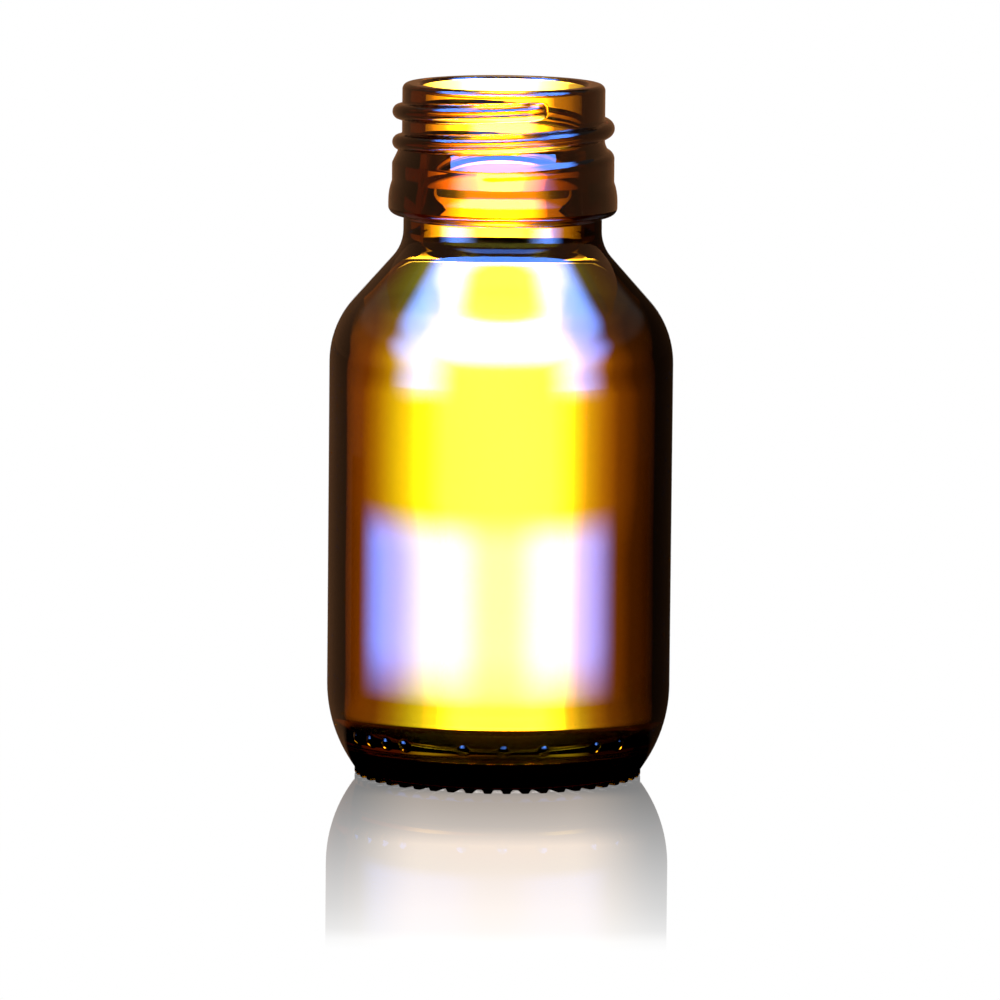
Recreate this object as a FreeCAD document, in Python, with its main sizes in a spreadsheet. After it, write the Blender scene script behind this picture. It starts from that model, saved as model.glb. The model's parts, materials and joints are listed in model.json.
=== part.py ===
import FreeCAD, Part
import enum
import math
import os

import Sketcher

# Amber glass reagent bottle, open, with a screw thread for a cap.
# Millimetres and degrees. +Z is up, and the origin is on the axis at the level of the foot ring.

Vector = FreeCAD.Vector

# Driving sizes. Each one is a cell of the sheet and can be changed by itself.
SIZES = {
    # Whole bottle
    "overall_height": 85.7,
    "body_diameter": 42.5,
    "wall_thickness": 2.2,
    # Foot and heel
    "foot_height": 0.7,
    "heel_inset": 3.5,
    "heel_radius": 18.3,
    "bearing_width": 3.2,
    "push_up_height": 1.5,
    "base_thickness": 3.2,
    "floor_crown": 0.7,
    "inner_heel_radius": 4.0,
    # Knurl of notches round the foot
    "knurl_count": 48,
    "knurl_notch_radius": 0.58,
    "knurl_depth": 0.6,
    # Shoulder and neck
    "shoulder_angle": 41.7,
    "shoulder_radius": 11.5,
    "shoulder_wall": 1.2,
    "neck_root_radius": 4.9,
    "inner_neck_root_radius": 3.0,
    "neck_length": 3.8,
    "bore_diameter": 20.3,
    "neck_wall": 2.1,
    # Lip
    "lip_wall": 2.35,
    "lip_outer_round": 0.8,
    "lip_inner_round": 0.6,
    # Screw thread
    "thread_pitch": 3.75,
    "thread_ridge_radius": 1.0,
    "thread_projection": 1.2,
    "thread_end_step": 0.04,
    "thread_turns": 2.05,
    "thread_drop": 2.5,
    "thread_end_angle": 282,
    # Collar under the thread
    "collar_drop": 9.85,
    "collar_height": 6.35,
    "collar_projection": 1.2,
    "collar_band": 2.2,
    "collar_flare": 0.43,
    "collar_flare_height": 2.4,
    "collar_ramp": 2.55,
    "collar_top_round": 0.6,
    "collar_bottom_round": 1.0,
}

# Sizes that follow from the driving ones, as formulas of the same sheet.
FORMULAS = {
    "body_radius": "=body_diameter / 2",
    "bore_radius": "=bore_diameter / 2",
    "neck_radius": "=bore_radius + neck_wall",
    "lip_radius": "=bore_radius + lip_wall",
    "foot_radius": "=body_radius - heel_inset",
    "bearing_inner_radius": "=foot_radius - bearing_width",
    "heel_rise": "=sqrt(2 * heel_radius * heel_inset - heel_inset ^ 2)",
    "heel_top": "=foot_height + heel_rise",
    "collar_top": "=overall_height - collar_drop",
    "collar_bottom": "=collar_top - collar_height",
    "ramp_top": "=collar_top + collar_ramp",
    "flare_top": "=collar_top - collar_band",
    "flare_foot": "=flare_top - collar_flare_height",
    "collar_top_radius": "=lip_radius + collar_projection",
    "collar_bottom_radius": "=collar_top_radius + collar_flare",
    "neck_root": "=collar_bottom - neck_length",
    "shoulder_slope": "=tan(shoulder_angle)",
    "shoulder_corner": "=neck_root - (body_radius - neck_radius) / shoulder_slope",
    "inner_radius": "=body_radius - wall_thickness",
    "cone_offset": "=shoulder_wall / cos(shoulder_angle)",
    "inner_neck_root": "=neck_root - (bore_radius + cone_offset - neck_radius) / shoulder_slope",
    "inner_shoulder_corner": "=neck_root - (inner_radius + cone_offset - neck_radius) / shoulder_slope",
    "inner_shoulder_radius": "=shoulder_radius - wall_thickness",
    "floor_top": "=push_up_height + base_thickness",
    "floor_edge": "=floor_top - floor_crown",
    "cut_top": "=overall_height + wall_thickness",
    "thread_centre_radius": "=lip_radius + thread_projection - thread_ridge_radius",
    "thread_end_radius": "=thread_ridge_radius - thread_end_step",
    "thread_rise": "=thread_pitch * thread_turns",
    "thread_top": "=overall_height - thread_drop",
    "thread_foot": "=thread_top - thread_rise",
    "thread_start_angle": "=thread_end_angle - 360 * thread_turns",
}

FULL_TURN = 360
TOLERANCE = 1e-3
CUT_SHARE = 1e-6


class AxisOf(enum.IntEnum):
    """The numbers by which a sketch knows its own axes."""

    HORIZONTAL = -1
    VERTICAL = -2


class PointOf(enum.IntEnum):
    """The numbers by which an edge knows its points."""

    START = 1
    END = 2
    CENTRE = 3


# A sketch's origin is the first point of its horizontal axis.
ORIGIN_POINT = (AxisOf.HORIZONTAL, PointOf.START)


def make_sheet(doc):
    """The sheet with every driving size and every formula, one aliased cell each."""
    sheet = doc.addObject("Spreadsheet::Sheet", "dims")
    cells = {**{name: str(value) for name, value in SIZES.items()}, **FORMULAS}
    for row, (alias, content) in enumerate(cells.items(), start=1):
        sheet.set(f"A{row}", alias)
        sheet.set(f"B{row}", content)
        sheet.setAlias(f"B{row}", alias)
    doc.recompute()
    return sheet


doc = FreeCAD.newDocument("reagent_bottle")
dims = make_sheet(doc)


def size(alias):
    """The present value of a cell, as a plain number."""
    return float(dims.get(alias))


def datum(body, role):
    """One of the body's own origin planes or axes."""
    return next(item for item in body.Origin.OriginFeatures if item.Role == role)


def new_sketch(body, name, role):
    sketch = body.newObject("Sketcher::SketchObject", name)
    sketch.AttachmentSupport = [(datum(body, role), "")]
    sketch.MapMode = "FlatFace"
    return sketch


def new_feature(body, kind, name):
    """A feature whose faces stay as they are made, because merging a helix's faces spoils the solid."""
    feature = body.newObject(f"PartDesign::{kind}", name)
    feature.Refine = False
    return feature


def bind(sketch, constraint, alias):
    """Adds a constraint and ties its value to a cell."""
    index = sketch.addConstraint(constraint)
    sketch.setExpression(f"Constraints[{index}]", f"dims.{alias}")


def place_point(sketch, edge, end, corner):
    """Holds one end of an edge at a corner, given as two cells, with None for a point on that axis."""
    across, up = corner
    if across is None:
        sketch.addConstraint(Sketcher.Constraint("PointOnObject", edge, end, AxisOf.VERTICAL))
    else:
        bind(sketch, Sketcher.Constraint("DistanceX", *ORIGIN_POINT, edge, end, size(across)), across)
    if up is None:
        sketch.addConstraint(Sketcher.Constraint("PointOnObject", edge, end, AxisOf.HORIZONTAL))
    else:
        bind(sketch, Sketcher.Constraint("DistanceY", *ORIGIN_POINT, edge, end, size(up)), up)


def corner_vector(corner):
    across, up = corner
    return Vector(size(across) if across else 0, size(up) if up else 0, 0)


def crown_arc(start, end):
    """An arc that is level on the axis at one end, as a domed floor is."""
    axis_point, rim_point = (start, end) if start.x == 0 else (end, start)
    rise = axis_point.y - rim_point.y
    radius = (rim_point.x**2 + rise**2) / (2 * rise)
    centre = Vector(0, axis_point.y - radius, 0)
    rim_angle = math.atan2(rim_point.y - centre.y, rim_point.x)
    return Part.ArcOfCircle(Part.Circle(centre, Vector(0, 0, 1), radius), rim_angle, math.pi / 2)


def upright_arc(start, end):
    """An arc that is upright at its wider end, as a heel is where it meets the side."""
    narrow, wide = sorted((start, end), key=lambda point: point.x)
    inset = wide.x - narrow.x
    radius = (inset**2 + (wide.y - narrow.y) ** 2) / (2 * inset)
    centre = Vector(wide.x - radius, wide.y, 0)
    narrow_angle = math.atan2(narrow.y - centre.y, narrow.x - centre.x)
    angles = sorted((narrow_angle, 0))
    return Part.ArcOfCircle(Part.Circle(centre, Vector(0, 0, 1), radius), *angles)


ARCS = {"crown": crown_arc, "upright": upright_arc}


def hold_arc(sketch, edge, arc, kind):
    """Keeps a crown's centre on the axis, and any other arc's centre level with its wider end."""
    if kind == "crown":
        held = Sketcher.Constraint("PointOnObject", edge, PointOf.CENTRE, AxisOf.VERTICAL)
    else:
        wide = PointOf.END if arc.EndPoint.x > arc.StartPoint.x else PointOf.START
        held = Sketcher.Constraint("Horizontal", edge, PointOf.CENTRE, edge, wide)
    sketch.addConstraint(held)


def outline(body, name, corners, arcs):
    """A closed half section: straight between corners, apart from the arcs named by their first corner."""
    sketch = new_sketch(body, name, "XZ_Plane")
    vectors = [corner_vector(corner) for corner in corners]
    starts = []
    ends = []
    for index, start in enumerate(vectors):
        end = vectors[(index + 1) % len(vectors)]
        kind = arcs.get(index)
        if kind is None:
            edge = sketch.addGeometry(Part.LineSegment(start, end), False)
            reverse = False
        else:
            arc = ARCS[kind](start, end)
            edge = sketch.addGeometry(arc, False)
            reverse = arc.StartPoint.distanceToPoint(start) > TOLERANCE
            hold_arc(sketch, edge, arc, kind)
        starts.append((edge, PointOf.END if reverse else PointOf.START))
        ends.append((edge, PointOf.START if reverse else PointOf.END))
    for index, corner in enumerate(corners):
        sketch.addConstraint(Sketcher.Constraint("Coincident", *ends[index - 1], *starts[index]))
        place_point(sketch, *starts[index], corner)
    return sketch


def turn(body, kind, name, sketch):
    """Turns a half section once round the bottle's axis, as material or as a cut."""
    feature = new_feature(body, kind, name)
    feature.Profile = sketch
    feature.ReferenceAxis = (sketch, ["V_Axis"])
    feature.Angle = FULL_TURN
    doc.recompute()
    return feature


def ring_edge(feature, radius, level):
    """The name of the round edge with this radius at this level."""
    for number, edge in enumerate(feature.Shape.Edges, start=1):
        if edge.Degenerated or not isinstance(edge.Curve, Part.Circle):
            continue
        curve = edge.Curve
        level_gap = abs(curve.Center.z - size(level))
        if level_gap < TOLERANCE and abs(curve.Radius - size(radius)) < TOLERANCE:
            return f"Edge{number}"
    raise RuntimeError(f"no round edge of {radius} at {level}")


def round_edge(body, name, edge_radius, level, round_size):
    """Rounds the edge at a radius and a level, both given as cells."""
    base = body.Tip
    fillet = new_feature(body, "Fillet", name)
    fillet.Base = (base, [ring_edge(base, edge_radius, level)])
    fillet.setExpression("Radius", f"dims.{round_size}")
    doc.recompute()
    return fillet


def require_cut(before, feature):
    """A cut that removed nothing points the wrong way."""
    if feature.Shape.Volume > before * (1 - CUT_SHARE):
        raise RuntimeError(f"{feature.Name} cut nothing")


def add_outside(body):
    """The solid bottle: foot, heel, side, shoulder, neck, collar and lip."""
    corners = (
        (None, "push_up_height"),
        ("bearing_inner_radius", None),
        ("foot_radius", None),
        ("foot_radius", "foot_height"),
        ("body_radius", "heel_top"),
        ("body_radius", "shoulder_corner"),
        ("neck_radius", "neck_root"),
        ("neck_radius", "collar_bottom"),
        ("collar_bottom_radius", "collar_bottom"),
        ("collar_bottom_radius", "flare_foot"),
        ("collar_top_radius", "flare_top"),
        ("collar_top_radius", "collar_top"),
        ("lip_radius", "ramp_top"),
        ("lip_radius", "overall_height"),
        (None, "overall_height"),
    )
    sketch = outline(body, "outside_section", corners, {0: "crown", 3: "upright", 9: "upright"})
    turn(body, "Revolution", "outside", sketch)
    round_edge(body, "shoulder_round", "body_radius", "shoulder_corner", "shoulder_radius")
    round_edge(body, "neck_root_round", "neck_radius", "neck_root", "neck_root_radius")
    round_edge(body, "collar_foot", "collar_bottom_radius", "collar_bottom", "collar_bottom_round")
    round_edge(body, "collar_head", "collar_top_radius", "collar_top", "collar_top_round")


def add_inside(body):
    """The hollow: domed floor, side, shoulder and a straight bore out of the mouth."""
    corners = (
        (None, "floor_top"),
        ("inner_radius", "floor_edge"),
        ("inner_radius", "inner_shoulder_corner"),
        ("bore_radius", "inner_neck_root"),
        ("bore_radius", "cut_top"),
        (None, "cut_top"),
    )
    before = body.Tip.Shape.Volume
    sketch = outline(body, "inside_section", corners, {0: "crown"})
    require_cut(before, turn(body, "Groove", "inside", sketch))
    round_edge(body, "floor_round", "inner_radius", "floor_edge", "inner_heel_radius")
    round_edge(body, "inner_shoulder", "inner_radius", "inner_shoulder_corner", "inner_shoulder_radius")
    round_edge(body, "inner_neck_root", "bore_radius", "inner_neck_root", "inner_neck_root_radius")
    round_edge(body, "lip_outside", "lip_radius", "overall_height", "lip_outer_round")
    round_edge(body, "lip_inside", "bore_radius", "overall_height", "lip_inner_round")


def add_thread(body):
    """A right-hand round ridge that winds up out of the collar, with a rounded end at the top."""
    sketch = new_sketch(body, "thread_section", "XZ_Plane")
    upright = Vector(0, 1, 0)
    start_turn = FreeCAD.Rotation(upright, size("thread_start_angle"))
    sketch.AttachmentOffset = FreeCAD.Placement(Vector(0, 0, 0), start_turn)
    sketch.setExpression("AttachmentOffset.Rotation.Angle", "dims.thread_start_angle")
    centre = corner_vector(("thread_centre_radius", "thread_foot"))
    edge = sketch.addGeometry(Part.Circle(centre, Vector(0, 0, 1), size("thread_ridge_radius")), False)
    radius = Sketcher.Constraint("Radius", edge, size("thread_ridge_radius"))
    bind(sketch, radius, "thread_ridge_radius")
    place_point(sketch, edge, PointOf.CENTRE, ("thread_centre_radius", "thread_foot"))
    doc.recompute()
    thread = new_feature(body, "AdditiveHelix", "thread")
    thread.Profile = sketch
    thread.ReferenceAxis = (sketch, ["V_Axis"])
    thread.Mode = "pitch-turns-angle"
    thread.setExpression("Pitch", "dims.thread_pitch")
    thread.setExpression("Turns", "dims.thread_turns")
    thread.LeftHanded = False
    doc.recompute()
    ball = new_feature(body, "AdditiveSphere", "thread_end")
    ball.setExpression("Radius", "dims.thread_end_radius")
    ball.setExpression("Placement.Base.x", "dims.thread_centre_radius * cos(dims.thread_end_angle)")
    ball.setExpression("Placement.Base.y", "dims.thread_centre_radius * sin(dims.thread_end_angle)")
    ball.setExpression("Placement.Base.z", "dims.thread_top")
    doc.recompute()


def add_knurl(body):
    """Small upright notches round the outer edge of the foot ring."""
    before = body.Tip.Shape.Volume
    sketch = new_sketch(body, "knurl_section", "XY_Plane")
    centre = Vector(size("foot_radius"), 0, 0)
    edge = sketch.addGeometry(Part.Circle(centre, Vector(0, 0, 1), size("knurl_notch_radius")), False)
    radius = Sketcher.Constraint("Radius", edge, size("knurl_notch_radius"))
    bind(sketch, radius, "knurl_notch_radius")
    place_point(sketch, edge, PointOf.CENTRE, ("foot_radius", None))
    notch = new_feature(body, "Pocket", "knurl_notch")
    notch.Profile = sketch
    notch.Type = "Length"
    notch.setExpression("Length", "dims.knurl_depth")
    notch.Reversed = True
    doc.recompute()
    require_cut(before, notch)
    knurl = new_feature(body, "PolarPattern", "knurl")
    knurl.Originals = [notch]
    knurl.Axis = (datum(body, "Z_Axis"), [""])
    knurl.setExpression("Occurrences", "dims.knurl_count")
    knurl.Angle = FULL_TURN
    body.Tip = knurl
    doc.recompute()


def make_bottle():
    body = doc.addObject("PartDesign::Body", "glass_bottle")
    body.Label = "glass_bottle"
    add_outside(body)
    add_inside(body)
    add_thread(body)
    add_knurl(body)
    return body


def check(body):
    """Stops if any object failed or the bottle isn't one sound solid."""
    for item in doc.Objects:
        if {"Invalid", "Error"} & set(item.State):
            raise RuntimeError(f"{item.Name} failed: {item.State}")
    shape = body.Shape
    if shape.isNull() or not shape.isValid() or len(shape.Solids) != 1:
        raise RuntimeError(f"{body.Label} is not one sound solid")


bottle = make_bottle()
doc.recompute()
check(bottle)

os.makedirs("parts", exist_ok=True)
bottle.Shape.exportStep(f"parts/{bottle.Label}.step")
box = bottle.Shape.optimalBoundingBox()
extents = " x ".join(f"{length:.2f}" for length in (box.XLength, box.YLength, box.ZLength))
print(f"{bottle.Label}: {bottle.Shape.Volume:.0f} mm3, {extents} mm")
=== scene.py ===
import json
import math

import bpy
import numpy as np
from mathutils import Matrix, Vector


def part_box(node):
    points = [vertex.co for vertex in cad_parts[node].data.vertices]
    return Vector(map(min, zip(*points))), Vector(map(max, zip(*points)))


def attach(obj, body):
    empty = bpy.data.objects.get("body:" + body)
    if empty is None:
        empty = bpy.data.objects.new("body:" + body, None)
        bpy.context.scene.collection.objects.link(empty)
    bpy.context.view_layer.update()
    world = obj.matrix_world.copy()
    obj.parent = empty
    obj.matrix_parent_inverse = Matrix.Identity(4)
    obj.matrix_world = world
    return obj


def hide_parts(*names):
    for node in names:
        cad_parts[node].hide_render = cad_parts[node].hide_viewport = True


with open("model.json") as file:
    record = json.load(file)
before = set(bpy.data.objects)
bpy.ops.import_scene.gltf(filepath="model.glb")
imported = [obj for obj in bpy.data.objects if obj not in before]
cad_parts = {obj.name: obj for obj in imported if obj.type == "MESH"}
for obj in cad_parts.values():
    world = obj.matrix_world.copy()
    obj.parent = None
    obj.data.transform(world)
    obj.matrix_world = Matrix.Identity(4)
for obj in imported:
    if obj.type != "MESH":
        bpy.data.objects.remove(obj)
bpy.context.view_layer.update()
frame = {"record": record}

# Amber glass reagent bottle, as a clear closed shell round its hollow.
# Sections are in millimetres, across from the axis and up from the foot ring. Objects are in metres.
MM = 0.001
NODE = "glass_bottle"

# Sizes that the frame gives
_, top_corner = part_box(NODE)
HEIGHT = top_corner.z / MM
BODY_RADIUS = top_corner.x / MM
MOUNTS = {mount["name"]: mount for mount in frame["record"]["mounts"]}
BORE_RADIUS = MOUNTS["mouth"]["dims"]["r_mm"]

# Foot and heel
WALL = 2.2
FOOT_HEIGHT = 0.7
FOOT_RADIUS = BODY_RADIUS - 3.5
FOOT_ROUND = 0.12
HEEL_RADIUS = 18.3
HEEL_EASE = 0.95
BEARING_RADIUS = FOOT_RADIUS - 3.2
BEARING_ROUND = 0.8
PUSH_UP = 1.5
FLOOR_TOP = PUSH_UP + 3.2
FLOOR_EDGE = FLOOR_TOP - 0.7
INNER_HEEL_ROUND = 4.0

# Shoulder, neck, collar and lip
SHOULDER_ANGLE = math.radians(41.7)
SHOULDER_ROUND = 11.5
NECK_RADIUS = BORE_RADIUS + 2.1
NECK_ROOT_ROUND = 4.9
INNER_ROOT_ROUND = 3.0
SHOULDER_WALL = 1.2
LIP_RADIUS = BORE_RADIUS + 2.35
LIP_OUTER_ROUND = 0.8
LIP_INNER_ROUND = 0.6
COLLAR_TOP = HEIGHT - 9.85
COLLAR_BOTTOM = COLLAR_TOP - 6.35
COLLAR_STEP = COLLAR_TOP - 2.2
COLLAR_TOP_RADIUS = LIP_RADIUS + 1.2
COLLAR_BOTTOM_RADIUS = COLLAR_TOP_RADIUS + 0.43
COLLAR_FLARE_ROUND = 7.0
COLLAR_FLARE_ANGLE = math.radians(20)
COLLAR_TOP_ROUND = 0.6
COLLAR_BOTTOM_ROUND = 1.0
COLLAR_ROOT_ROUND = 0.6
RAMP_TOP = COLLAR_TOP + 2.55
RAMP_ROUND = 1.6
NECK_ROOT = COLLAR_BOTTOM - 3.8

# Screw thread
THREAD_PITCH = 3.75
THREAD_RIDGE = 1.0
THREAD_CENTRE = LIP_RADIUS + 1.2 - THREAD_RIDGE
THREAD_TURNS = 2.05
THREAD_TOP = HEIGHT - 2.5
THREAD_END_ANGLE = math.radians(282)
THREAD_TAPER = 3.0
THREAD_BLEND = 0.35
THREAD_FLANK = 3.0

# Knurl of grooves across the foot ring
KNURL_COUNT = 48
KNURL_GROOVE = 0.72
KNURL_DEPTH = 0.6
KNURL_FADE = 1.0
FOOT_STEP = 0.2

# Plain raised dots on the heel, by heading from the front towards the right, in degrees
DOT_HEADINGS = (-58, -50, -42, -34, -12, 2, 16, 36, 47)
DOT_LEVEL = 5.7
DOT_RADIUS = 0.85
DOT_HEIGHT = 0.32
DOT_FALL = 1.5
FRONT = math.radians(270)

# Slow waves of the inner wall, as a blown wall has: how many round, their turn for each millimetre up,
# and where they start. They fade out over a length under the lip.
WAVE_HEIGHT = 0.05
WAVES = ((2, 0.11, 0), (3, -0.17, 1), (5, 0.23, 2))
WAVE_FADE = 20

# Mesh detail: points round each row, and the longest step along the section
COARSE_TURN = 240
MEDIUM_TURN = 480
FINE_TURN = 960
ARC_STEP = math.radians(7)
ARC_LENGTH = 0.8
CROWN_STEPS = 12
DOT_STEP = 0.2
THREAD_STEP = 0.1
PLAIN_STEP = 1.4
DOT_ZONE = (1.0, 9.0)
THREAD_ZONE = (COLLAR_TOP - 2.0, HEIGHT - 1.0)


def crown(centre_level, rim_radius, rim_level):
    """A shallow dome, level on the axis, from the axis out to its rim."""
    rise = centre_level - rim_level
    radius = (rim_radius**2 + rise**2) / (2 * rise)
    across = [rim_radius * step / CROWN_STEPS for step in range(CROWN_STEPS)]
    return [(x, centre_level - radius + math.sqrt(radius**2 - x**2), 0) for x in across]


def rounded(corners):
    """The points of a section with each corner's round put in as an arc."""
    points = []
    for index, (across, up, radius) in enumerate(corners):
        corner = Vector((across, up))
        if radius == 0:
            points.append(corner)
            continue
        before = (Vector(corners[index - 1][:2]) - corner).normalized()
        after = (Vector(corners[index + 1][:2]) - corner).normalized()
        half = before.angle(after) / 2
        centre = corner + (before + after).normalized() * radius / math.sin(half)
        first = corner + before * radius / math.tan(half) - centre
        last = corner + after * radius / math.tan(half) - centre
        sweep = math.pi - 2 * half
        steps = max(math.ceil(sweep / ARC_STEP), math.ceil(radius * sweep / ARC_LENGTH))
        sign = 1 if first.x * last.y - first.y * last.x > 0 else -1
        for step in range(steps + 1):
            turned = Matrix.Rotation(sign * sweep * step / steps, 2) @ first
            points.append(centre + turned)
    return points


def within(value, zone):
    return zone[0] < value < zone[1]


def on_foot(point):
    return point.x > BEARING_RADIUS and point.y < FOOT_HEIGHT


def outside_step(point):
    """The longest step of the outside at a point: short where there is relief."""
    if on_foot(point):
        return FOOT_STEP
    if within(point.y, DOT_ZONE):
        return DOT_STEP
    return THREAD_STEP if within(point.y, THREAD_ZONE) else PLAIN_STEP


def divided(points, longest):
    """The same section with long steps divided."""
    result = [points[0]]
    for start, end in zip(points, points[1:]):
        middle = (start + end) / 2
        count = max(1, math.ceil((end - start).length / longest(middle)))
        result += [start.lerp(end, step / count) for step in range(1, count + 1)]
    return result


def outside_section():
    """From the middle of the base, round the foot, up the side and over the lip."""
    slope = math.tan(SHOULDER_ANGLE)
    shoulder_corner = NECK_ROOT - (BODY_RADIUS - NECK_RADIUS) / slope
    heel_sweep = math.acos(1 - (BODY_RADIUS - FOOT_RADIUS) / HEEL_RADIUS)
    heel_corner = FOOT_HEIGHT + HEEL_RADIUS * (math.sin(heel_sweep) - math.tan(heel_sweep / 2))
    flare = COLLAR_BOTTOM_RADIUS - COLLAR_TOP_RADIUS
    flare_corner = COLLAR_STEP - flare / math.tan(COLLAR_FLARE_ANGLE)
    corners = crown(PUSH_UP, BEARING_RADIUS, 0) + [
        (BEARING_RADIUS, 0, BEARING_ROUND),
        (FOOT_RADIUS, 0, FOOT_ROUND),
        (FOOT_RADIUS, FOOT_HEIGHT, FOOT_ROUND),
        (BODY_RADIUS, heel_corner, HEEL_RADIUS * HEEL_EASE),
        (BODY_RADIUS, shoulder_corner, SHOULDER_ROUND),
        (NECK_RADIUS, NECK_ROOT, NECK_ROOT_ROUND),
        (NECK_RADIUS, COLLAR_BOTTOM, COLLAR_ROOT_ROUND),
        (COLLAR_BOTTOM_RADIUS, COLLAR_BOTTOM, COLLAR_BOTTOM_ROUND),
        (COLLAR_BOTTOM_RADIUS, flare_corner, COLLAR_FLARE_ROUND),
        (COLLAR_TOP_RADIUS, COLLAR_STEP, 0),
        (COLLAR_TOP_RADIUS, COLLAR_TOP, COLLAR_TOP_ROUND),
        (LIP_RADIUS, RAMP_TOP, RAMP_ROUND),
        (LIP_RADIUS, HEIGHT, LIP_OUTER_ROUND),
        ((LIP_RADIUS + BORE_RADIUS) / 2, HEIGHT, 0),
    ]
    return divided(rounded(corners), outside_step)


def inside_section():
    """From the middle of the lip down the bore and the inner wall to the middle of the floor."""
    slope = math.tan(SHOULDER_ANGLE)
    inner_radius = BODY_RADIUS - WALL
    cone = SHOULDER_WALL / math.cos(SHOULDER_ANGLE) - NECK_RADIUS
    corners = [
        ((LIP_RADIUS + BORE_RADIUS) / 2, HEIGHT, 0),
        (BORE_RADIUS, HEIGHT, LIP_INNER_ROUND),
        (BORE_RADIUS, NECK_ROOT - (BORE_RADIUS + cone) / slope, INNER_ROOT_ROUND),
        (inner_radius, NECK_ROOT - (inner_radius + cone) / slope, SHOULDER_ROUND - WALL),
        (inner_radius, FLOOR_EDGE, INNER_HEEL_ROUND),
    ] + crown(FLOOR_TOP, inner_radius, FLOOR_EDGE)[::-1]
    return divided(rounded(corners), lambda point: PLAIN_STEP)[1:]


def smooth_max(low, high, blend):
    """The larger of two heights, with a hollow round where they meet."""
    share = np.clip(0.5 + 0.5 * (high - low) / blend, 0, 1)
    return low * (1 - share) + high * share + blend * share * (1 - share)


def smooth_step(value):
    share = np.clip(value, 0, 1)
    return share * share * (3 - 2 * share)


def with_thread(radius, level, angles):
    """The neck's radius with the screw ridge on it: a right-hand round ridge with tapered ends."""
    full = 2 * math.pi
    ends = np.mod(THREAD_END_ANGLE - angles, full) / full
    for lap in range(-1, math.ceil(THREAD_TURNS) + 1):
        turns = ends + lap
        past = np.maximum(-turns, turns - THREAD_TURNS) * full * THREAD_CENTRE
        tip = np.clip(past / THREAD_TAPER, 0, 1)
        sunk = 2 * THREAD_RIDGE * (1 - np.sqrt(1 - tip**2))
        away = np.abs(level - THREAD_TOP + THREAD_PITCH * turns)
        arch = np.sqrt(np.maximum(THREAD_RIDGE**2 - away**2, 0))
        flank = THREAD_FLANK * np.maximum(away - THREAD_RIDGE, 0)
        radius = smooth_max(radius, THREAD_CENTRE + arch - flank - sunk, THREAD_BLEND)
    return radius


def with_knurl(radius, level, angles):
    """The foot's level with round grooves that run out across it from the hollow under the base."""
    pitch = 2 * math.pi / KNURL_COUNT
    away = (np.mod(angles + pitch / 2, pitch) - pitch / 2) * FOOT_RADIUS
    arch = np.sqrt(np.maximum(KNURL_GROOVE**2 - away**2, 0))
    groove = np.maximum(arch - KNURL_GROOVE + KNURL_DEPTH, 0)
    fade = smooth_step((radius - BEARING_RADIUS) / KNURL_FADE) * (1 - level / FOOT_HEIGHT)
    return level + groove * fade


def dot_relief(radius, level, angles):
    """How far the heel's dots stand out of the surface."""
    relief = np.zeros_like(angles)
    for heading in DOT_HEADINGS:
        around = np.angle(np.exp(1j * (angles - FRONT - math.radians(heading)))) * radius
        apart = np.hypot(around, level - DOT_LEVEL) / DOT_RADIUS
        relief += DOT_HEIGHT * np.maximum(1 - apart**2, 0) ** DOT_FALL
    return relief


def wave(level, angles):
    """Slow waves round and up the inner wall, which only ever thicken the glass."""
    swing = sum(np.sin(count * angles + turn * level + start) for count, turn, start in WAVES)
    return WAVE_HEIGHT * (1 + swing / len(WAVES)) / 2


def outside_row(point, outward):
    """One turn of points of the outside, with the relief that lies at that level."""
    relief_below = within(point.y, DOT_ZONE)
    if on_foot(point) or relief_below:
        count = FINE_TURN
    else:
        count = MEDIUM_TURN if point.y > COLLAR_BOTTOM else COARSE_TURN
    angles = np.arange(count) * 2 * math.pi / count
    radius = np.full(count, point.x)
    level = np.full(count, point.y)
    if within(point.y, THREAD_ZONE):
        radius = with_thread(radius, level, angles)
    if on_foot(point):
        level = with_knurl(radius, level, angles)
    if relief_below:
        relief = dot_relief(radius, level, angles)
        radius = radius + outward.x * relief
        level = level + outward.y * relief
    return np.stack([radius * np.cos(angles), radius * np.sin(angles), level], axis=1)


def inside_row(point, outward):
    """One turn of points of the inside, with the slow waves of the wall."""
    angles = np.arange(COARSE_TURN) * 2 * math.pi / COARSE_TURN
    depth = wave(point.y, angles) * smooth_step((HEIGHT - point.y) / WAVE_FADE)
    radius = np.maximum(point.x - depth * abs(outward.x), 0)
    level = np.full(COARSE_TURN, point.y)
    return np.stack([radius * np.cos(angles), radius * np.sin(angles), level], axis=1)


def outward_of(section, index):
    """The direction out of the glass at a point of a section that runs up the outside."""
    ahead = section[min(index + 1, len(section) - 1)]
    behind = section[max(index - 1, 0)]
    along = (ahead - behind).normalized()
    return Vector((along.y, -along.x))


def section_rows():
    """All rows of the shell, from the middle of the base to the middle of the floor."""
    outside = outside_section()
    inside = inside_section()
    rows = [outside_row(point, outward_of(outside, i)) for i, point in enumerate(outside)]
    rows += [inside_row(point, outward_of(inside, i)) for i, point in enumerate(inside)]
    rows[0] = rows[0][:1]
    rows[-1] = rows[-1][:1]
    return rows


def band(lower, upper):
    """The faces between two rows of vertex numbers. One may have a multiple of the other's."""
    if len(lower) == 1:
        return [(lower[0], upper[i], upper[i - 1]) for i in range(len(upper))]
    if len(upper) == 1:
        return [(upper[0], lower[i - 1], lower[i]) for i in range(len(lower))]
    if len(lower) > len(upper):
        return [face[::-1] for face in band(upper, lower)]
    ratio = len(upper) // len(lower)
    faces = []
    for i in range(len(lower)):
        low = [lower[i], lower[(i + 1) % len(lower)]]
        high = [upper[(i * ratio + step) % len(upper)] for step in range(ratio, -1, -1)]
        faces.append(tuple(low + high))
    return faces


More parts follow.
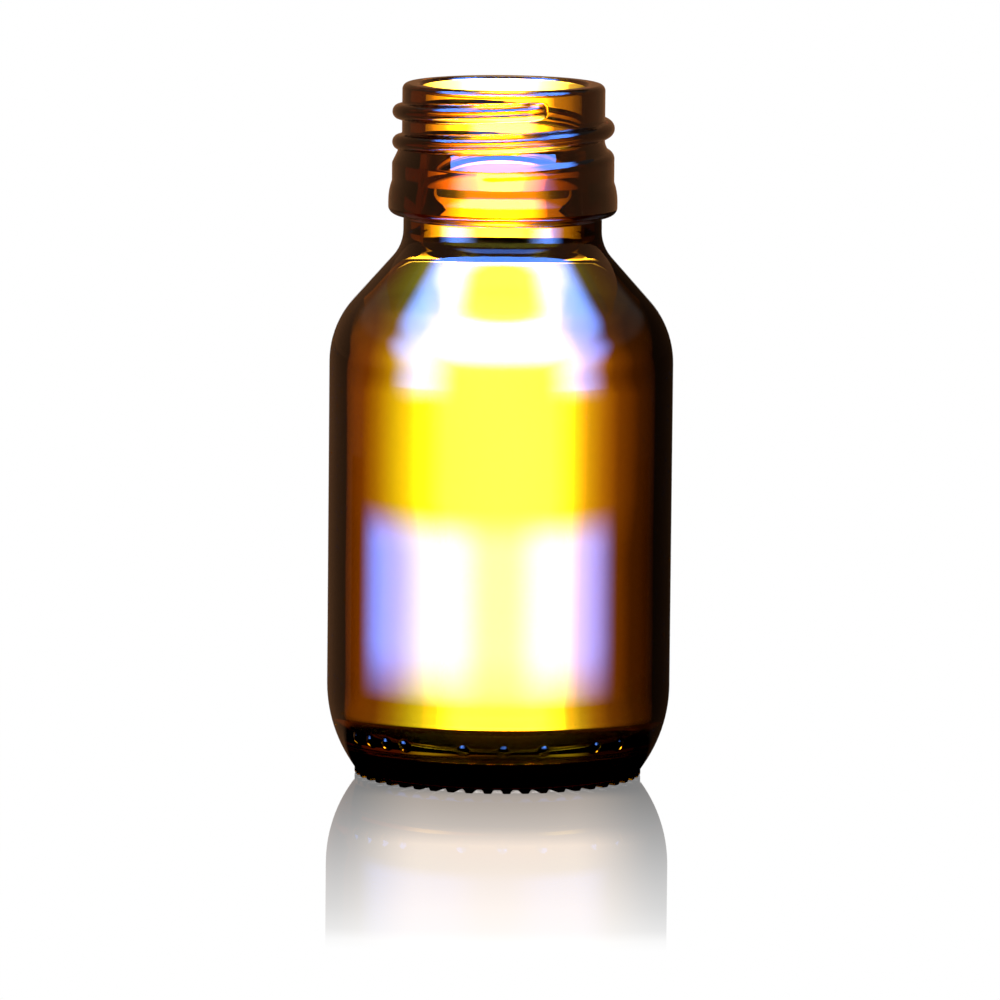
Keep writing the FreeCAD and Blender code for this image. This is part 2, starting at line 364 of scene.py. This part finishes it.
def make_bottle():
    """The bottle as one closed, smooth shell."""
    rows = section_rows()
    numbers = []
    total = 0
    for row in rows:
        numbers.append(list(range(total, total + len(row))))
        total += len(row)
    faces = [face for pair in zip(numbers, numbers[1:]) for face in band(*pair)]
    mesh = bpy.data.meshes.new("bottle")
    mesh.from_pydata((np.concatenate(rows) * MM).tolist(), [], faces)
    mesh.validate()
    mesh.polygons.foreach_set("use_smooth", [True] * len(mesh.polygons))
    mesh.update()
    bottle = bpy.data.objects.new("bottle", mesh)
    bpy.context.scene.collection.objects.link(bottle)
    return bottle


WHITE = (1, 1, 1)

# Amber glass: how much it takes out of the light, and the colour it leaves
ABSORPTION_DENSITY = 1300
ABSORPTION_COLOUR = (0.87, 0.69, 0.02, 1)
GLASS_IOR = 1.52
GLASS_ROUGHNESS = (0.0, 0.03)
SMEAR_SCALE = 140
RIPPLE_SCALE = 90
RIPPLE_DISTANCE = 0.00004
RIPPLE_STRENGTH = 0.25


def new_material(name):
    material = bpy.data.materials.new(name)
    material.use_nodes = True
    material.node_tree.nodes.clear()
    return material, material.node_tree.nodes, material.node_tree.links


def amber_glass():
    """Clear amber glass with faint smears and ripples, and colour that deepens with thickness."""
    material, nodes, links = new_material("amber_glass")
    output = nodes.new("ShaderNodeOutputMaterial")
    surface = nodes.new("ShaderNodeBsdfPrincipled")
    surface.inputs["Base Color"].default_value = (*WHITE, 1)
    surface.inputs["IOR"].default_value = GLASS_IOR
    surface.inputs["Transmission Weight"].default_value = 1
    place = nodes.new("ShaderNodeTexCoord")
    smears = nodes.new("ShaderNodeTexNoise")
    smears.inputs["Scale"].default_value = SMEAR_SCALE
    roughness = nodes.new("ShaderNodeMapRange")
    roughness.inputs["To Min"].default_value = GLASS_ROUGHNESS[0]
    roughness.inputs["To Max"].default_value = GLASS_ROUGHNESS[1]
    ripples = nodes.new("ShaderNodeTexNoise")
    ripples.inputs["Scale"].default_value = RIPPLE_SCALE
    bump = nodes.new("ShaderNodeBump")
    bump.inputs["Strength"].default_value = RIPPLE_STRENGTH
    bump.inputs["Distance"].default_value = RIPPLE_DISTANCE
    absorption = nodes.new("ShaderNodeVolumeAbsorption")
    absorption.inputs["Color"].default_value = ABSORPTION_COLOUR
    absorption.inputs["Density"].default_value = ABSORPTION_DENSITY
    links.new(place.outputs["Object"], smears.inputs["Vector"])
    links.new(place.outputs["Object"], ripples.inputs["Vector"])
    links.new(smears.outputs["Fac"], roughness.inputs["Value"])
    links.new(roughness.outputs["Result"], surface.inputs["Roughness"])
    links.new(ripples.outputs["Fac"], bump.inputs["Height"])
    links.new(bump.outputs["Normal"], surface.inputs["Normal"])
    links.new(surface.outputs["BSDF"], output.inputs["Surface"])
    links.new(absorption.outputs["Volume"], output.inputs["Volume"])
    return material


# Camera: a long lens, a little above the bottle, with a slight tilt of the frame
CAMERA_DISTANCE = 1.2
CAMERA_HEIGHT = 0.19
AIM_HEIGHT = 0.034
FRAME_WIDTH = 0.1237
SENSOR_WIDTH = 36
CAMERA_ROLL = math.radians(0.55)


def make_camera():
    data = bpy.data.cameras.new("camera")
    camera = bpy.data.objects.new("camera", data)
    bpy.context.scene.collection.objects.link(camera)
    place = Vector((0, -CAMERA_DISTANCE, CAMERA_HEIGHT))
    aim = Vector((0, 0, AIM_HEIGHT)) - place
    look = aim.to_track_quat("-Z", "Y").to_matrix().to_4x4()
    camera.matrix_world = Matrix.Translation(place) @ look @ Matrix.Rotation(CAMERA_ROLL, 4, "Z")
    data.sensor_width = SENSOR_WIDTH
    data.lens = SENSOR_WIDTH * aim.length / FRAME_WIDTH
    bpy.context.scene.camera = camera


# The studio is plain white to the eye: a pale table in a white room. The glass sees other lights in it:
# two bright cards behind, a low cool card round the front, a cool dome with a cool far ring on the table
# under it, a dim warm room, and a dark shade over the neck.
# Places and directions are split into right, back and up. An edge is a pair of values that a smooth step
# runs between. Steps are pairs of a value and the level there.
SMALL = 0.01
ONE_BOUNCE = (0, 1)
TWO_BOUNCES = (1, 2)

# Table, with a reflection that fades away from the bottle, a painted pool of warm light in front and a
# mirror behind
TABLE_SIZE = 6.0
TABLE_LEVEL = -0.0002
SHEEN_FADE = ((0, 0.8), (0.02, 0.78), (0.1, 0.31), (0.114, 0.19), (0.121, 0.05), (0.127, 0))
SHEEN_ROUGHNESS = 0
# Painted pool of warm light on the table in front of the bottle, as if thrown through the amber glass
PAINTED_POOL_LIGHT = (1, 0.75, 0.55)
PAINTED_POOL_FADE = (
    (0, 0.2), (0.03, 0.2), (0.042, 0.22), (0.055, 0.47), (0.07, 0.37), (0.1, 0.3), (0.114, 0.19),
    (0.127, 0),
)
PAINTED_POOL_ASIDE = (0.0085, 0.0195)
PAINTED_POOL_FRONT = (-0.02, -0.01)
MIRROR_EDGE = (0.12, 0.3)
MIRROR_LEVEL = 0.85
MIRROR_ROUGHNESS = 0.02

# Cool light, which is plain white where it comes straight through the glass
COOL_LIGHT = (2.5, 7, 26)
COOL_EDGE = (-0.38, 0.02)
COOL_MIRRORED = 0.25
THROUGH_LEVEL = 1.6
THROUGH_EDGE = (-0.2, 0.12)
THROUGH_FOOT = (0.03, 0.06)

# Low cool card round the front
FRONT_RADIUS = 0.06
FRONT_REACH = math.radians(100)
FRONT_STEPS = 50
FRONT_SPAN = (0, 0.035)
FRONT_BOTTOM = (0.003, 0.013)
FRONT_TOP = (0.0245, 0.0305)
FRONT_TURN = 0.17
FRONT_LEAN = -0.15
FRONT_ASIDE = (0.07, 0.5)
FRONT_MIDDLE = 0.3

# Cool dome, and the cool far ring on the table
FAR_RING = ((0.42, 0.465), (5, 6))
FAR_LEAN = -0.22
DOME_TURN = 0.03
DOME_ASIDE = (0.45, 0.85)
DOME_LEANS = (((0.05, 0.45), FAR_LEAN, 0.04), ((0.5, 0.9), 0, 0.52))
DOME_LOW = (0.09, 0.4)
DOME_HIGH = (0.9, 0.96)

# Cards behind: levels across, green's share across, levels going up, and how far each side is drawn in
NEAR_BACK = 0.0245
NEAR_ACROSS = (
    (-0.05, 0.4), (-0.0233, 0.63), (-0.019, 1.26), (-0.0159, 2.05), (-0.0134, 3), (-0.0104, 7),
    (-0.006, 50), (0.005, 50), (0.0104, 5), (0.0126, 2.05), (0.0151, 1.2), (0.0179, 0.53),
    (0.0233, 0.16), (0.05, 0),
)
NEAR_GREEN = (
    (-0.05, 0.7), (-0.0233, 0.72), (-0.019, 1.27), (-0.0159, 1.8), (-0.0134, 2), (-0.0104, 1.5),
    (-0.006, 1), (0.005, 1), (0.0104, 1.4), (0.0126, 1.4), (0.0151, 1), (0.0179, 0.75),
    (0.0233, 0.65), (0.05, 0.65),
)
NEAR_UP = (
    (0.0012, 0), (0.0025, 0.5), (0.009, 1), (0.0445, 1), (0.0475, 0.7), (0.05, 0.4), (0.053, 0.2),
    (0.057, 0.09), (0.065, 0.08),
)
NEAR_NARROW = (
    (0.0012, 1.25, 1.1), (0.024, 1.25, 1.1), (0.031, 1, 1), (0.0445, 1, 1), (0.0475, 1.1, 1.15),
    (0.05, 1.2, 1.25), (0.055, 1.2, 1.2), (0.059, 1.05, 1.05), (0.065, 1.05, 1.05),
)
FAR_BACK = 0.16
FAR_ACROSS = (
    (-0.09, 1), (-0.06, 2), (-0.036, 5.5), (-0.014, 20), (-0.006, 40), (0.005, 40), (0.011, 18),
    (0.026, 1.6), (0.056, 0.6), (0.09, 0.2),
)
FAR_GREEN = ((-0.09, 1), (0.09, 1))
FAR_UP = ((0.03, 0), (0.036, 1), (0.076, 1), (0.078, 0), (0.115, 0), (0.12, 1), (0.3, 1))
FAR_NARROW = ((0.03, 1, 1), (0.3, 1, 1))
CARD_MIRRORED = 0.002
CARD_WALLS = (4, 5)
CARD_PAST_WALLS = 0.03

# Room: warm and dim, white above to the sides, with a white glow low down behind
WARM_ROOM = (1, 0.45, 0.2)
ROOM_LEFT = 0.2
ROOM_RIGHT = 0.03
ROOM_CHANGE = (-0.5, 0.2)
ROOM_HIGH = 0.1
ROOM_EDGE = (0.3, 0.42)
ROOM_ASIDE = (0.5, 0.65)
GLOW_HEADING = (0.1, 0.17)
GLOW_TOP = (0.2, 0.26)

# Dark shade over the neck, with a cool glint in front
SHADE_RADII = (0.0225, 0.12)
SHADE_FOOT = 0.068
SHADE_SLOPE = math.tan(math.radians(43.5))
SHADE_TURN = 96
SHADE_LEVEL = 0.3
GLINT_LEVEL = 0.3
GLINT_FRONT = (-0.01, 0)
GLINT_ASIDE = (0.013, 0.02)
GLINT_BOTTOM = (0.0712, 0.0722)
GLINT_TOP = (0.079, 0.083)


def feed(tree, socket, value):
    """Sets an input, or links it if the value comes from another node."""
    if isinstance(value, bpy.types.NodeSocket):
        tree.links.new(value, socket)
    else:
        socket.default_value = value


def add_math(tree, operation, first, second=0):
    node = tree.nodes.new("ShaderNodeMath")
    node.operation = operation
    feed(tree, node.inputs[0], first)
    feed(tree, node.inputs[1], second)
    return node.outputs["Value"]


def add_product(tree, *values):
    product = 1
    for value in values:
        product = add_math(tree, "MULTIPLY", product, value)
    return product


def add_step(tree, value, edge, low=0, high=1):
    """A smooth step of a value across an edge, from one level to another."""
    node = tree.nodes.new("ShaderNodeMapRange")
    node.interpolation_type = "SMOOTHSTEP"
    feed(tree, node.inputs["Value"], value)
    node.inputs["From Min"].default_value = edge[0]
    node.inputs["From Max"].default_value = edge[1]
    node.inputs["To Min"].default_value = low
    node.inputs["To Max"].default_value = high
    return node.outputs["Result"]


def add_ramp(tree, value, steps):
    """The level at a value, on straight lines between steps of value and level."""
    first = steps[0][0]
    span = steps[-1][0] - first
    most = max(level for place, level in steps)
    node = tree.nodes.new("ShaderNodeValToRGB")
    elements = node.color_ramp.elements
    while len(elements) < len(steps):
        elements.new(1)
    for element, (place, level) in zip(elements, steps):
        element.position = (place - first) / span
        element.color = (*[level / most] * 3, 1)
    past = add_math(tree, "SUBTRACT", value, first)
    feed(tree, node.inputs["Fac"], add_math(tree, "DIVIDE", past, span))
    return add_product(tree, node.outputs["Color"], most)


def add_place(tree, vector):
    """A place or direction as right, back and up, and its distance from the axis."""
    parts = tree.nodes.new("ShaderNodeSeparateXYZ")
    tree.links.new(vector, parts.inputs["Vector"])
    right, back, up = parts.outputs
    squares = [add_math(tree, "POWER", part, 2) for part in (right, back)]
    distance = add_math(tree, "SQRT", add_math(tree, "ADD", *squares))
    return right, back, up, add_math(tree, "MAXIMUM", distance, SMALL)


def add_mix(tree, share, first, second):
    node = tree.nodes.new("ShaderNodeMixShader")
    feed(tree, node.inputs["Fac"], share)
    tree.links.new(first, node.inputs[1])
    tree.links.new(second, node.inputs[2])
    return node.outputs["Shader"]


def add_sum(tree, first, second):
    node = tree.nodes.new("ShaderNodeAddShader")
    tree.links.new(first, node.inputs[0])
    tree.links.new(second, node.inputs[1])
    return node.outputs["Shader"]


def add_light(tree, kind, colour, strength):
    node = tree.nodes.new(kind)
    node.inputs["Color"].default_value = (*colour, 1)
    feed(tree, node.inputs["Strength"], strength)
    return node.outputs[0]


def add_gloss(tree, level, roughness):
    node = tree.nodes.new("ShaderNodeBsdfGlossy")
    node.inputs["Color"].default_value = (level, level, level, 1)
    node.inputs["Roughness"].default_value = roughness
    return node.outputs["BSDF"]


def add_front(tree, right, back, turn, lean):
    """One in front of an upright plane that is turned a little, none behind. Lean moves it back."""
    turned = add_math(tree, "ADD", back, add_product(tree, right, turn))
    return add_step(tree, add_math(tree, "SUBTRACT", turned, lean), COOL_EDGE, 1, 0)


def add_aside(tree, right, distance):
    """How far a heading lies to the side, from none to one."""
    return add_math(tree, "DIVIDE", add_math(tree, "ABSOLUTE", right), distance)


def add_through(tree):
    """One for light that comes straight through the glass, none for light that is mirrored."""
    path = tree.nodes.new("ShaderNodeLightPath").outputs
    unmirrored = add_step(tree, path["Glossy Depth"], ONE_BOUNCE, 1, 0)
    return add_product(tree, add_step(tree, path["Transmission Depth"], ONE_BOUNCE), unmirrored)


def add_cool(tree, kind, white_level, *levels):
    """The cool light, dimmed where it comes by way of a second mirror. Straight through the glass it is
    plain white instead, at a level of its own."""
    mirrors = tree.nodes.new("ShaderNodeLightPath").outputs["Glossy Depth"]
    dimmed = add_step(tree, mirrors, TWO_BOUNCES, 1, COOL_MIRRORED)
    through = add_through(tree)
    mirrored = add_math(tree, "SUBTRACT", 1, through)
    cool = add_light(tree, kind, COOL_LIGHT, add_product(tree, *levels, dimmed, mirrored))
    return add_sum(tree, cool, add_light(tree, kind, WHITE, add_product(tree, through, white_level)))


def table_material():
    """White to the eye, with a fading reflection and a painted pool of warm light in front of the
    bottle. The glass sees the far ring of cool light on it, and a mirror behind."""
    material, nodes, links = new_material("table")
    tree = material.node_tree
    kind = "ShaderNodeEmission"
    output = nodes.new("ShaderNodeOutputMaterial")
    is_seen = nodes.new("ShaderNodeLightPath").outputs["Is Camera Ray"]
    position = nodes.new("ShaderNodeNewGeometry").outputs["Position"]
    right, back, _, distance = add_place(tree, position)
    white = add_light(tree, kind, WHITE, 1)
    gloss = add_gloss(tree, 1, SHEEN_ROUGHNESS)
    sheen = add_mix(tree, add_ramp(tree, distance, SHEEN_FADE), white, gloss)
    # A painted pool of warm light on the table in front of the bottle, as if thrown through the amber
    # glass
    pool_sides = add_step(tree, add_math(tree, "ABSOLUTE", right), PAINTED_POOL_ASIDE, 1, 0)
    pool_front = add_step(tree, back, PAINTED_POOL_FRONT, 1, 0)
    painted_pool = add_product(tree, pool_sides, pool_front, add_ramp(tree, distance, PAINTED_POOL_FADE))
    seen = add_sum(tree, sheen, add_light(tree, kind, PAINTED_POOL_LIGHT, painted_pool))
    heading = [add_math(tree, "DIVIDE", part, distance) for part in (right, back)]
    inner, outer = FAR_RING
    ring = add_product(tree, add_step(tree, distance, inner), add_step(tree, distance, outer, 1, 0))
    front = add_front(tree, *heading, DOME_TURN, FAR_LEAN)
    aside = add_step(tree, add_aside(tree, right, distance), DOME_ASIDE)
    ahead = add_step(tree, heading[1], THROUGH_EDGE, THROUGH_LEVEL, 0)
    white_level = add_product(tree, ahead, add_step(tree, distance, THROUGH_FOOT))
    lit = add_cool(tree, kind, white_level, ring, front, aside)
    mirror = add_gloss(tree, MIRROR_LEVEL, MIRROR_ROUGHNESS)
    unseen = add_mix(tree, add_step(tree, heading[1], MIRROR_EDGE), lit, mirror)
    links.new(add_mix(tree, is_seen, unseen, seen), output.inputs["Surface"])
    return material


def card_material(name, across_steps, green_steps, up_steps, narrow_steps):
    """The light of a card behind the bottle. It is dimmed in mirrors and past the bottle's two walls."""
    material, nodes, links = new_material(name)
    tree = material.node_tree
    output = nodes.new("ShaderNodeOutputMaterial")
    position = nodes.new("ShaderNodeNewGeometry").outputs["Position"]
    right, _, up, _ = add_place(tree, position)
    left_narrow = [(level, share) for level, share, _ in narrow_steps]
    right_narrow = [(level, share) for level, _, share in narrow_steps]
    to_left = add_product(tree, add_math(tree, "MINIMUM", right, 0), add_ramp(tree, up, left_narrow))
    to_right = add_product(tree, add_math(tree, "MAXIMUM", right, 0), add_ramp(tree, up, right_narrow))
    across = add_math(tree, "ADD", to_left, to_right)
    path = nodes.new("ShaderNodeLightPath").outputs
    direct = add_step(tree, path["Glossy Depth"], ONE_BOUNCE, 1, CARD_MIRRORED)
    shallow = add_step(tree, path["Transmission Depth"], CARD_WALLS, 1, CARD_PAST_WALLS)
    levels = add_ramp(tree, across, across_steps), add_ramp(tree, up, up_steps)
    colour = nodes.new("ShaderNodeCombineColor")
    colour.inputs["Red"].default_value = 1
    colour.inputs["Blue"].default_value = 1
    links.new(add_ramp(tree, across, green_steps), colour.inputs["Green"])
    lit = nodes.new("ShaderNodeEmission")
    links.new(colour.outputs["Color"], lit.inputs["Color"])
    links.new(add_product(tree, *levels, direct, shallow), lit.inputs["Strength"])
    links.new(lit.outputs["Emission"], output.inputs["Surface"])
    return material


def front_material():
    """The cool light of the front card, which the table's reflection doesn't see."""
    material, nodes, links = new_material("front_card")
    tree = material.node_tree
    output = nodes.new("ShaderNodeOutputMaterial")
    is_table = nodes.new("ShaderNodeLightPath").outputs["Is Singular Ray"]
    position = nodes.new("ShaderNodeNewGeometry").outputs["Position"]
    right, back, up, distance = add_place(tree, position)
    heading = [add_math(tree, "DIVIDE", part, distance) for part in (right, back)]
    aside = add_step(tree, add_aside(tree, right, distance), FRONT_ASIDE, FRONT_MIDDLE)
    front = add_front(tree, *heading, FRONT_TURN, FRONT_LEAN)
    height = add_step(tree, up, FRONT_BOTTOM), add_step(tree, up, FRONT_TOP, 1, 0)
    lit = add_cool(tree, "ShaderNodeEmission", 0, aside, front, *height)
    clear = nodes.new("ShaderNodeBsdfTransparent").outputs["BSDF"]
    links.new(add_mix(tree, is_table, lit, clear), output.inputs["Surface"])
    return material


def shade_material():
    """Dim inside, with a short cool glint in front, and clear from below."""
    material, nodes, links = new_material("shade")
    tree = material.node_tree
    kind = "ShaderNodeEmission"
    output = nodes.new("ShaderNodeOutputMaterial")
    place = nodes.new("ShaderNodeNewGeometry").outputs
    right, back, up, _ = add_place(tree, place["Position"])
    front = add_step(tree, back, GLINT_FRONT, 1, 0)
    middle = add_step(tree, add_math(tree, "ABSOLUTE", right), GLINT_ASIDE, GLINT_LEVEL, 0)
    height = add_step(tree, up, GLINT_BOTTOM), add_step(tree, up, GLINT_TOP, 1, 0)
    glint = add_light(tree, kind, COOL_LIGHT, add_product(tree, middle, front, *height))
    inner = add_sum(tree, add_light(tree, kind, WARM_ROOM, SHADE_LEVEL), glint)
    clear = nodes.new("ShaderNodeBsdfTransparent").outputs["BSDF"]
    links.new(add_mix(tree, place["Backfacing"], clear, inner), output.inputs["Surface"])
    return material


def make_world():
    """A white room to the eye and in the table's reflection. The glass sees a dim warm one, white above
    to the sides, with a white glow behind and a cool dome over the front."""
    world = bpy.data.worlds.new("studio")
    bpy.context.scene.world = world
    world.use_nodes = True
    tree = world.node_tree
    tree.nodes.clear()
    kind = "ShaderNodeBackground"
    output = tree.nodes.new("ShaderNodeOutputWorld")
    path = tree.nodes.new("ShaderNodeLightPath").outputs
    direction = tree.nodes.new("ShaderNodeTexCoord").outputs["Generated"]
    right, back, up, distance = add_place(tree, direction)
    aside = add_aside(tree, right, distance)
    beside_glass = add_step(tree, path["Transmission Depth"], ONE_BOUNCE, 1, 0)
    is_sheen = path["Is Singular Ray"]
    beside_table = add_math(tree, "SUBTRACT", 1, add_product(tree, is_sheen, beside_glass))
    ahead = add_math(tree, "DIVIDE", right, add_math(tree, "MAXIMUM", back, SMALL))
    glow_sides = add_step(tree, add_math(tree, "ABSOLUTE", ahead), GLOW_HEADING, 1, 0)
    glow_behind = add_product(tree, glow_sides, add_step(tree, up, GLOW_TOP, 1, 0))
    glow = add_product(tree, add_math(tree, "MAXIMUM", glow_behind, is_sheen), beside_glass)
    sides = add_step(tree, aside, ROOM_ASIDE)
    high = add_product(tree, add_step(tree, up, ROOM_EDGE, 0, ROOM_HIGH), sides)
    pale = add_light(tree, kind, WHITE, add_math(tree, "ADD", high, glow))
    low = add_step(tree, right, ROOM_CHANGE, ROOM_LEFT, ROOM_RIGHT)
    warm = add_light(tree, kind, WARM_ROOM, add_product(tree, low, beside_table))
    dome_foot = add_step(tree, up, DOME_LOW), add_step(tree, aside, DOME_ASIDE)
    dome_top = add_step(tree, up, DOME_HIGH, 1, 0)
    dome = add_product(tree, add_math(tree, "MAXIMUM", *dome_foot), dome_top)
    lean = add_math(tree, "ADD", *[add_step(tree, up, *leans) for leans in DOME_LEANS])
    front = add_front(tree, right, back, DOME_TURN, lean)
    white_level = add_step(tree, back, THROUGH_EDGE, THROUGH_LEVEL, 0)
    cool = add_cool(tree, kind, white_level, dome, front, beside_table)
    unseen = add_sum(tree, add_sum(tree, pale, warm), cool)
    white = add_light(tree, kind, WHITE, 1)
    tree.links.new(add_mix(tree, path["Is Camera Ray"], unseen, white), output.inputs["Surface"])


def add_stage(name, corners, faces, material):
    mesh = bpy.data.meshes.new(name)
    mesh.from_pydata(corners, [], faces)
    mesh.materials.append(material)
    thing = bpy.data.objects.new(name, mesh)
    bpy.context.scene.collection.objects.link(thing)
    return thing


def make_table():
    half = TABLE_SIZE / 2
    places = (-half, -half), (half, -half), (half, half), (-half, half)
    corners = [(*place, TABLE_LEVEL) for place in places]
    add_stage("table", corners, [(0, 1, 2, 3)], table_material())


def make_card(name, back, across_steps, green_steps, up_steps, narrow_steps):
    """An upright card behind the bottle, seen only through the glass."""
    left, right = across_steps[0][0], across_steps[-1][0]
    bottom, top = up_steps[0][0], up_steps[-1][0]
    corners = [(left, back, bottom), (right, back, bottom), (right, back, top), (left, back, top)]
    material = card_material(name, across_steps, green_steps, up_steps, narrow_steps)
    card = add_stage(name, corners, [(0, 1, 2, 3)], material)
    card.visible_glossy = False
    card.visible_camera = False


def make_band(name, angles, edges, is_closed, material):
    """A band round the axis between two edges, each a radius and a level, seen only in reflections."""
    corners = []
    for angle in angles:
        across, along = math.cos(angle), math.sin(angle)
        corners += [(radius * across, radius * along, level) for radius, level in edges]
    count = len(corners)
    last = count if is_closed else count - 2
    faces = [(i, (i + 2) % count, (i + 3) % count, i + 1) for i in range(0, last, 2)]
    thing = add_stage(name, corners, faces, material)
    thing.visible_camera = False
    thing.visible_transmission = False
    thing.visible_shadow = False


def make_front_card():
    """A low curved card round the front."""
    start = FRONT - FRONT_REACH
    angles = [start + 2 * FRONT_REACH * index / FRONT_STEPS for index in range(FRONT_STEPS + 1)]
    edges = [(FRONT_RADIUS, level) for level in FRONT_SPAN]
    make_band("front_card", angles, edges, False, front_material())


def make_shade():
    """A wide cone over the neck, which keeps the cool dome off it."""
    angles = [2 * math.pi * index / SHADE_TURN for index in range(SHADE_TURN)]
    edges = [(radius, SHADE_FOOT + SHADE_SLOPE * (radius - SHADE_RADII[0])) for radius in SHADE_RADII]
    make_band("shade", angles, edges, True, shade_material())


# Light passes many walls of the glass
LIGHT_BOUNCES = 32


def set_look():
    scene = bpy.context.scene
    scene.view_settings.view_transform = "Standard"
    scene.cycles.max_bounces = LIGHT_BOUNCES
    scene.cycles.transmission_bounces = LIGHT_BOUNCES
    scene.cycles.glossy_bounces = LIGHT_BOUNCES


bottle = make_bottle()
bottle.data.materials.append(amber_glass())
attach(bottle, "root")
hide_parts(NODE)
make_camera()
make_table()
make_card("near_card", NEAR_BACK, NEAR_ACROSS, NEAR_GREEN, NEAR_UP, NEAR_NARROW)
make_card("far_card", FAR_BACK, FAR_ACROSS, FAR_GREEN, FAR_UP, FAR_NARROW)
make_front_card()
make_shade()
make_world()
set_look()
